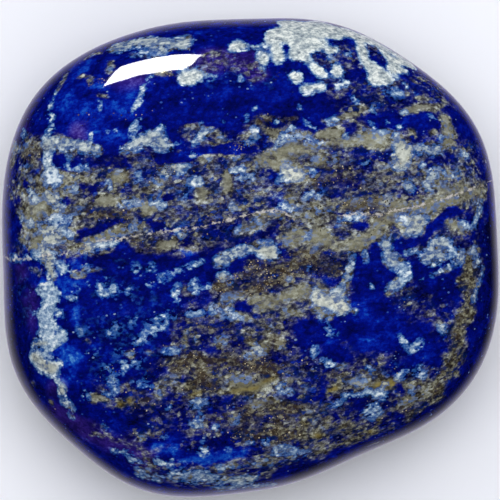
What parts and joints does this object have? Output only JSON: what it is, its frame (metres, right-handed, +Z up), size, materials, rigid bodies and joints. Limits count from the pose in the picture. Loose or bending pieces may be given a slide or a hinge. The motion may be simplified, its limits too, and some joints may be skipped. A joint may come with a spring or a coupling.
{
  "type": "polished lapis lazuli stone",
  "caption": "Flat tumbled and polished lapis lazuli pebble with rounded edges, blue with white calcite, grey bands and pyrite flecks, resting on a flat spot.",
  "frame": {"origin": "middle of the stone's box, at the level of the flat spot it rests on", "axes": "+Z up, out of the show face; +X towards the stone's right side and +Y towards its far side, both as seen from above in the picture's view"},
  "size_m": [0.042, 0.0406, 0.0146],
  "materials": {
    "polished_lapis": "high polish; ultramarine blue rock with white calcite, grey-olive bands and flush brassy pyrite flecks"
  },
  "bodies": {
    "root": {"lapis_stone": "polished_lapis"}
  },
  "joints": []
}
